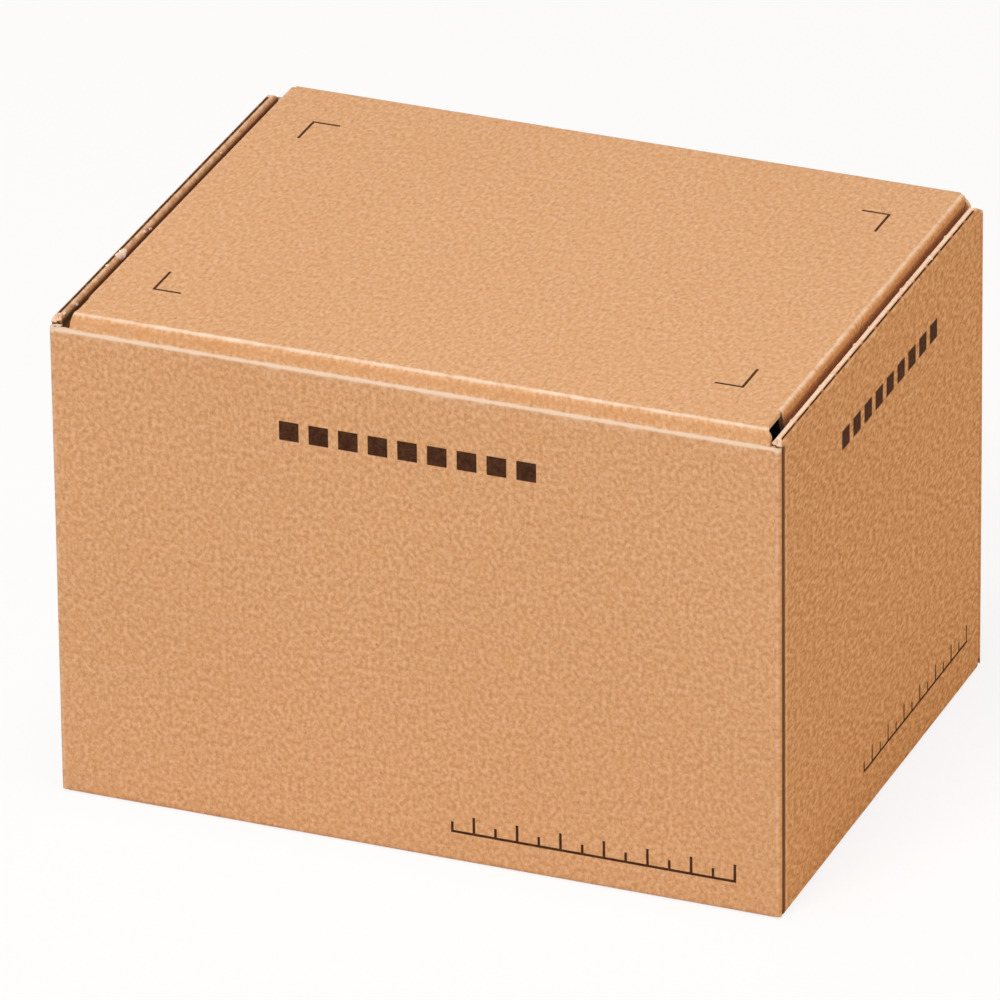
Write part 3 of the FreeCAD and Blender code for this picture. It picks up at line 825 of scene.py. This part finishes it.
# %% [markdown]
# ## Lid
# The lid's panel turns down at its far end into the tuck flap, whose ears reach a little wider than the lid
# and hold it shut. The outline could be cut out of a wide sheet with a boolean. Here the grid's width is
# simply scaled row by row, which keeps the faces even.

# %% Path of the lid
tuck_lean = math.atan2(lid_far - tip_out, fold_z - tip_z)
panel_start = (hinge_y + CREASE_REACH, hinge_z)
tuck_turn = QUARTER + tuck_lean
tuck_top = hinge_z - FOLD_MID * (1 - math.cos(tuck_turn))
lid_stretches = [
    (lid_far - FOLD_OUT - panel_start[0], 0.0),
    (FOLD_MID * tuck_turn, -tuck_turn),
    ((tuck_top - tip_z) / math.cos(tuck_lean), 0.0),
]
lid_path = (panel_start, 0.0, lid_stretches)
lid_marks = np.concatenate([[0.0], np.cumsum([length for length, turn in lid_stretches])])
ear_half = layer_in - 0.7
shoulder = ear_half - flat_half
ear_low = fold_z - shoulder - 8.0
tip_half, tip_radius = ear_half - 11.0, 6.0
hinge_edge_half = 78.85
hinge_edge_shift = 1.05
ear_shift = 0.6
flap_start = side_near - panel_start[0]
print("the lid's strip is", round(lid_marks[-1], 1), "mm long, and its ears reach", round(ear_half, 2))


# %% Lid panel and tuck flap
def lid_half_width(v):
    """Half the lid's width along the strip: straight panel, then round shoulders, ears, taper and round tip.
    The round parts are quarter circles: the root of radius squared less distance squared."""
    z = folded(*lid_path, v)[0][..., 1]
    above = np.clip(z - (fold_z - shoulder), 0, shoulder)
    rounding = flat_half + np.sqrt(np.clip(shoulder ** 2 - above ** 2, 0, None))
    taper = np.interp(z, [tip_z + tip_radius, ear_low], [tip_half + tip_radius, ear_half])
    below = np.clip(tip_z + tip_radius - z, 0, tip_radius)
    tip = tip_half + np.sqrt(np.clip(tip_radius ** 2 - below ** 2, 0, None))
    tuck = np.where(z > ear_low, rounding, np.where(z > tip_z + tip_radius, taper, tip))
    near = np.interp(v, [flap_start - 0.3, flap_start], [hinge_edge_half, flat_half])
    return np.where(v < lid_marks[1] + 0.5 * (lid_marks[2] - lid_marks[1]), near, tuck)


def lid_shape(u, v):
    """The lid's path, carried along X. U is scaled to the half width there, and moved by the lid's shift."""
    stops = [flap_start - 0.3, flap_start, lid_marks[1], lid_marks[2]]
    shift = np.interp(v, stops, [hinge_edge_shift, lid_shift, lid_shift, ear_shift])
    return bent_along_x(lid_path, shift + u * lid_half_width(v) / flat_half, v, -1.0)


def lid_wear(u, v):
    """Pale line over the fold to the tuck flap: a bell curve of the distance from its middle."""
    middle = (lid_marks[1] + lid_marks[2]) / 2
    return 0.35 * bell(v - middle, 0.9)


tuck_rows = [lid_marks[3] - d for d in (0.0, 0.25, CORE_SHY, 1.8, 3.2, tip_radius)]
shoulder_rows = [lid_marks[2] + shoulder * d for d in (0.1, 0.25, 0.5, 0.75, 1.0)]
lid_v_stops = bend_stops(lid_stretches, 10) + tuck_rows + shoulder_rows
lid_v_stops += [flap_start - 0.3, flap_start, lid_marks[2] + shoulder + 8.0]
lid_u, lid_v = lines([-flat_half, flat_half], 4.0), lines(lid_v_stops, 4.0)
lid_parts = board(lid_shape, lid_u, lid_v, wear_and_shade=lid_wear, raw=["v1"])
lid_panel = mesh_of("lid_panel_and_tuck_flap", lid_parts, board_material, drawn=0.75, mottling=0.72)
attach(lid_panel, "lid")
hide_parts("lid")

# %% [markdown]
# ## Side flaps of the lid
# Two flaps hang from the lid's sides and drop inside the end walls, where they keep dust out and the lid
# from sliding. They could be cut with the lid from one grid. Their folds run square to the tuck flap's,
# which one path can't hold, so each flap is a strip of its own.

# %% Side flaps of the lid
side_low = lid_top - 22.0
side_slant, side_rake = 9.5, 5.0
side_mid = 0.5


def side_flap(name, hand, lean, paleness):
    """One side flap: a fold of a quarter turn plus its lean, then a straight, whose two ends slant in with
    the distance down it."""
    turn = QUARTER + lean
    lead = FOLD_MID - side_mid
    root = lead + side_mid * turn
    stretches = [(lead, 0.0), (side_mid * turn, -turn), (fold_z + lead - side_low, 0.0)]
    path = ((flat_half + hand * lid_shift, hinge_z), 0.0, stretches)

    def shape(u, v):
        down = np.clip((u - root) / (fold_z + lead - side_low), 0, 1)
        span = side_far - side_near
        low, high = side_near + side_slant * down, side_far - side_rake * down
        y = low + (v - side_near) / span * (high - low)
        return bent_along_y(path, u, y, hand, -1.0)

    u_lines = lines(bend_stops(stretches, 10) + [root + fold_z + lead - side_low - CORE_SHY], 4.0)
    v_lines = lines([side_near, side_near + CORE_SHY, side_far - CORE_SHY, side_far], 4.0)

    def wear_and_shade(u, v):
        return paleness * bell(u - lead - 0.15, 0.35)

    parts = board(shape, u_lines, v_lines, wear_and_shade=wear_and_shade, raw=["v0", "v1", "u1"])
    piece = mesh_of(name, parts, board_material)
    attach(piece, "lid")


side_flap("lid_side_flap_right", 1, 0.045, 0.55)
side_flap("lid_side_flap_left", -1, 0.0, 0.3)

# %% [markdown]
# ## The lid's crease
# The lid turns about a pressed line in the board. This short strip lies between the spine and the lid,
# and it is thinner in its middle, where the real board is crushed. A stiff strip on either side would
# tear open there, so this one is a piece of its own.

# %% Crease between spine and lid
crease_turn = QUARTER - spine_angle
crease_radius = 0.6
crease_half = 80.0
crease_tangent = crease_radius * math.tan(crease_turn / 2)
crease_stretches = [
    (CREASE_REACH - crease_tangent, 0.0),
    (crease_radius * crease_turn, -crease_turn),
    (CREASE_REACH - crease_tangent, 0.0),
]
crease_path = (spine_start, QUARTER - spine_angle, crease_stretches)
crease_length = sum(length for length, turn in crease_stretches)


def crease_shape(u, v):
    """The crease's path, carried along X between the ends of spine and lid. Its thickness is crushed by a
    bell curve of the distance from its middle, and the crushed board moves outward by a part of that."""
    ends = [0, crease_length]
    left = np.interp(v, ends, [spine_left, hinge_edge_shift - hinge_edge_half])
    right = np.interp(v, ends, [spine_right, hinge_edge_shift + hinge_edge_half])
    middle, outward = bent_along_x(crease_path, left + (right - left) * (u / crease_half + 1) / 2, v, -1.0)
    crush = 1 - 0.45 * bell(v - crease_length / 2, 0.7)
    return middle + outward * (HALF * (1 - crush) * 0.6)[..., None], outward * crush[..., None]


def crease_wear_and_shade(u, v):
    """Pale line along the crease, a bell curve, less a soft step of painted shade on the spine's side before
    it.
    """
    line = crease_length * 0.55
    # Painted shade: the step darkens the spine's side of the crease.
    return 0.72 * bell(v - line, 0.42) - 0.4 * before(v - line + 0.8, 0.2)


crease_u, crease_v = lines([-crease_half, crease_half], 2.4), lines(bend_stops(crease_stretches, 12), 0.2)
crease_parts = board(crease_shape, crease_u, crease_v, wear_and_shade=crease_wear_and_shade)
crease_piece = mesh_of("lid_crease", crease_parts, board_material, 60.0)
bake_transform(crease_piece)

# %% [markdown]
# ## Print
# The print is one pass of flat dark ink, a little uneven on the rough paper: four corner marks on the lid
# for a label, a row of plain blocks high on the hinge wall and the right end, and a scale of lines near
# their foot. An image could be laid over the board. Here each mark is a thin film that follows the board's
# own face, so its edges stay sharp from close by.

# %% Ink
INK_UP, INK_DOWN = 0.03, -0.05
INK_DARK, INK_WORN = (0.042, 0.012, 0.004, 1), (0.16, 0.065, 0.025, 1)
INK_GRAIN = 1100.0


def ink(name):
    """Flat dark ink, mixed towards a paler brown in small patches of noise."""
    material = bpy.data.materials.new(name)
    material.use_nodes = True
    tree = material.node_tree
    shader = tree.nodes["Principled BSDF"]
    place = add_node(tree, "ShaderNodeTexCoord").outputs["Object"]
    patchy = spread(tree, noise(tree, place, INK_GRAIN, 3.0), 0.35, 0.80, 0.0, 0.55)
    tree.links.new(tinted(tree, INK_DARK, patchy, INK_WORN), shader.inputs["Base Color"])
    shader.inputs["Roughness"].default_value = 0.8
    shader.inputs["Specular IOR Level"].default_value = 0.15
    return material


ink_material = ink("dark_brown_ink")
print("the ink stands", INK_UP, "mm above the paper")


def printed(name, body, shape, marks):
    """One object for a group of marks. Each is a rectangle on the sheet: low and high u, low and high v."""
    parts = []
    for u_low, u_high, v_low, v_high in marks:
        u, v = np.meshgrid(lines([u_low, u_high], 1.0), lines([v_low, v_high], 1.0), indexing="ij")
        solid = np.ones((1, u.shape[0] - 1, u.shape[1] - 1), bool)
        parts.append(part_of(shape, u, v, solid, [HALF + INK_UP, HALF + INK_DOWN], no_wear))
    piece = mesh_of(name, parts, ink_material)
    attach(piece, body)


# %% Marks
LINE = 0.6
MARK_X, MARK_NEAR, MARK_FAR, ARM_X, ARM_Y = 67.8, -45.2, 44.5, 6.6, 9.0
corner_marks = []
for hand in (-1, 1):
    for y, inward in ((MARK_NEAR, 1), (MARK_FAR, -1)):
        x = hand * MARK_X
        across = sorted((x, x - hand * ARM_X))
        down = sorted((y + inward * LINE / 2, y + inward * ARM_Y))
        corner_marks.append((*across, y - LINE / 2 - panel_start[0], y + LINE / 2 - panel_start[0]))
        beside = sorted((x, x - hand * LINE))
        corner_marks.append((*beside, down[0] - panel_start[0], down[1] - panel_start[0]))


def flat_lid(u, v):
    """A place on the lid's panel: u across from the lid's middle, and v along its path."""
    return bent_along_x(lid_path, u + lid_shift, v, -1.0)


printed("lid_corner_marks", "lid", flat_lid, corner_marks)


def blocks_and_scale(blocks_middle, blocks_z, scale_end, scale_z):
    """Rectangles in distance along the wall and height: a row of plain blocks, and a line with ticks."""
    block, gap, count = 4.5, 2.3, 9
    first = blocks_middle - (count * block + (count - 1) * gap) / 2
    starts = first + np.arange(count) * (block + gap)
    marks = [(start, start + block, blocks_z, blocks_z + block) for start in starts]
    length, pitch = 65.0, 5.0
    for n in range(int(length / pitch) + 1):
        tall = 4.4 if n % 2 == 0 else 2.6
        place = scale_end - n * pitch
        marks.append((place - LINE, place, scale_z + LINE, scale_z + tall))
    marks.append((scale_end - length - LINE, scale_end, scale_z, scale_z + LINE))
    return marks


def on_hinge_wall(x, z):
    """A place on the hinge wall: its way along the path is the crease's, plus how far z lies below it."""
    return bent_along_x(long_path, x, spine_length + wall_height - z, 1.0)


def on_right_end(y, z):
    """A place on the right end: its way along the path is the floor fold's end, plus the height above it."""
    return bent_along_y(end_path, end_marks[2] + z - FOLD_OUT, y, 1)


printed("hinge_wall_print", "tray", on_hinge_wall, blocks_and_scale(-1.0, 95.0, 73.5, 7.3))
printed("right_end_print", "tray", on_right_end, blocks_and_scale(3.2, 95.0, 53.0, 10.5))

# %% [markdown]
# ## Torn fibres
# Where the ridge's bridges cracked in folding, the paper tore and stands up in small pale tufts. Each is a
# thin bent flake of its own size, set on the ridge. Hair particles could do this, but flakes are solid
# pieces that any program can read.

# %% Tufts
rng = np.random.default_rng(7)


def tuft(shape, perf_line, y, size, lean):
    """A flake: a lens shape of length and width, pulled up at one end by the square of the distance along it,
    and roughened at its rim."""
    a, b = np.meshgrid(np.linspace(-1, 1, 9), np.linspace(-1, 1, 7), indexing="ij")
    rim = np.sqrt(np.clip(1 - a ** 2 * 0.9, 0.02, 1))
    rough = 1 + 0.25 * rng.standard_normal(a.shape) * (abs(b) > 0.9)
    along_y = y + size * a
    u = perf_line + lean + 0.42 * size * b * rim * rough
    middle, outward = shape(u, along_y)
    lift = 0.06 + 0.25 * size * np.clip(a + 0.3 * b, 0, 1) ** 2 + 0.05 * rng.random(a.shape)
    thick = 0.10 * rim * (1 - 0.7 * b ** 2)
    middle = middle + outward * (HALF + lift)[..., None]
    vertices, quads, cuts = skin(middle, outward * thick[..., None], np.ones((1, 8, 6), bool), [1.0, -1.0])
    sheet = np.broadcast_to(np.stack([u, along_y], -1), (2,) + u.shape + (2,)).reshape(-1, 2)
    return vertices, quads, np.zeros(len(quads)), sheet, np.ones(len(sheet))


bridges = [perf_first + n * PERF_PITCH + PERF_CUT + 0.55 for n in range(perf_count - 1)]


def tufts(name, hand, near_nose, perf_line, inward, places):
    """All tufts of one ridge, a flake for each place, about the same distance inward of its cuts."""
    shape = end_shape(hand, near_nose)
    parts = [tuft(shape, perf_line, y, size, inward + 0.2 * rng.standard_normal()) for y, size in places]
    piece = mesh_of(name, parts, board_material, 60.0)
    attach(piece, "tray")


small = [(y, 0.25 + 0.3 * rng.random()) for y in bridges]
right_y = (31.0, 18.0, 15.0, 10.2, -14.1, -25.0, -35.4)
right_places = small[::3] + list(zip(right_y, (0.8, 0.5, 0.4, 0.5, 0.5, 0.4, 0.4)))
left_places = small[::5] + list(zip((-59.0, -34.4, -15.3, -28.0, -26.2), (0.5, 0.5, 0.5, 1.5, 0.9)))
tufts("ridge_tufts_right", 1, RIGHT_NOSE, RIGHT_CUTS, 0.75, right_places)
tufts("ridge_tufts_left", -1, LEFT_NOSE, LEFT_CUTS, 0.6, left_places)

# %% [markdown]
# ## Studio floor
# The box stands on a flat pale floor, so wide and bright that its edge doesn't show. A shadow catcher would
# need a second step to join the picture. Here the floor glows for the camera only, so a soft trace of shadow
# is left and the glow doesn't light the box from below.

# %% Studio floor
FLOOR_REACH = 6.0
FLOOR_GLOW, GLOW_SHARE = 1.06, 0.80
floor_mesh = bpy.data.meshes.new("studio_floor")
floor_corners = [(x * FLOOR_REACH, y * FLOOR_REACH, 0) for x, y in ((-1, -1), (1, -1), (1, 1), (-1, 1))]
floor_mesh.from_pydata(floor_corners, [], [(0, 1, 2, 3)])
studio_floor = bpy.data.objects.new("studio_floor", floor_mesh)
bpy.context.scene.collection.objects.link(studio_floor)
floor_material = bpy.data.materials.new("studio_floor")
floor_material.use_nodes = True
floor_tree = floor_material.node_tree
floor_tree.nodes.clear()
paper = add_node(floor_tree, "ShaderNodeBsdfDiffuse", {"Color": (0.72, 0.67, 0.61, 1)})
glow = add_node(floor_tree, "ShaderNodeEmission", {"Color": (1, 1, 1, 1), "Strength": FLOOR_GLOW})
floor_seen = add_node(floor_tree, "ShaderNodeLightPath").outputs["Is Camera Ray"]
share = maths(floor_tree, "MULTIPLY", floor_seen, GLOW_SHARE)
floor_mix = add_node(floor_tree, "ShaderNodeMixShader", {0: share, 1: paper.outputs[0], 2: glow.outputs[0]})
add_node(floor_tree, "ShaderNodeOutputMaterial", {"Surface": floor_mix.outputs[0]})
floor_mesh.materials.append(floor_material)
print("the floor reaches", FLOOR_REACH, "m each way")

# %% [markdown]
# ## World and lamps
# The photo's light is soft and comes from the front and above, with a warmer tone on the right end. A
# bright world alone would light every side alike. Large disc lamps keep the sides apart. The world is white
# to the camera, in reflections and through clear things, and only a dim fill for the rest.

# %% World
world = bpy.data.worlds.new("studio")
bpy.context.scene.world = world
world.use_nodes = True
world_tree = world.node_tree
world_tree.nodes.clear()
AMBIENT = 0.24
light_path = add_node(world_tree, "ShaderNodeLightPath").outputs
seen = maths(world_tree, "MAXIMUM", light_path["Is Camera Ray"], light_path["Is Glossy Ray"])
seen = maths(world_tree, "MAXIMUM", seen, light_path["Is Transmission Ray"])
strength = spread(world_tree, seen, 0.0, 1.0, AMBIENT, 1.0)
sky = add_node(world_tree, "ShaderNodeBackground", {"Color": (1, 1, 1, 1), "Strength": strength})
add_node(world_tree, "ShaderNodeOutputWorld", {"Surface": sky.outputs[0]})
print("the world fills with a strength of", AMBIENT)


# %% Lamps
def soft_lamp(name, place, size, power, tone):
    """A round area lamp that points at the middle of the box: its direction is that point less its place."""
    lamp = bpy.data.lights.new(name, "AREA")
    lamp.shape = "DISK"
    lamp.size = size
    lamp.energy = power
    lamp.color = tone
    holder = bpy.data.objects.new(name, lamp)
    holder.location = place
    aim = Vector((0, 0, lid_top * MM / 2)) - Vector(place)
    holder.rotation_mode = "QUATERNION"
    holder.rotation_quaternion = aim.to_track_quat("-Z", "Y")
    bpy.context.scene.collection.objects.link(holder)
    print(name, "lamp:", power, "W from", round(aim.length, 2), "m")


soft_lamp("key", (-0.35, -1.35, 1.75), 0.7, 17.5, (1, 0.99, 0.98))
soft_lamp("front", (0.2, -2.0, 0.7), 1.2, 7.8, (1, 0.99, 0.97))
soft_lamp("overhead", (0.0, -0.3, 2.2), 1.0, 22.6, (0.895, 0.94, 1.0))
soft_lamp("warm_side", (2.2, 0.3, 0.15), 0.8, 16.5, (1, 0.63, 0.13))

# %% [markdown]
# ## Camera
# A long lens from far away gives the photo's flat perspective. Its values were fitted to the box's corners
# in the photo. It could be aimed with a constraint, but a direction worked out from two angles has nothing
# hidden.

# %% Camera
LENS_PIXELS, IMAGE_PIXELS, SENSOR = 13000.0, 1000.0, 36.0
AZIMUTH, ELEVATION, ROLL = math.radians(22.015), math.radians(26.855), math.radians(-0.674)
DISTANCE = 2.8299
TARGET = Vector((-0.00435, -0.00263, 0.05641))
backward = Vector((
    math.sin(AZIMUTH) * math.cos(ELEVATION), -math.cos(AZIMUTH) * math.cos(ELEVATION), math.sin(ELEVATION)))
lens = bpy.data.cameras.new("camera")
lens.lens = LENS_PIXELS * SENSOR / IMAGE_PIXELS
lens.sensor_width = SENSOR
camera = bpy.data.objects.new("camera", lens)
camera.location = TARGET + backward * DISTANCE
camera.rotation_mode = "QUATERNION"
camera.rotation_quaternion = backward.to_track_quat("Z", "Y") @ Quaternion((0, 0, 1), ROLL)
bpy.context.scene.collection.objects.link(camera)
bpy.context.scene.camera = camera
bpy.context.scene.view_settings.view_transform = "Standard"
print("the lens is", round(lens.lens), "mm long, and stands", DISTANCE, "m away")
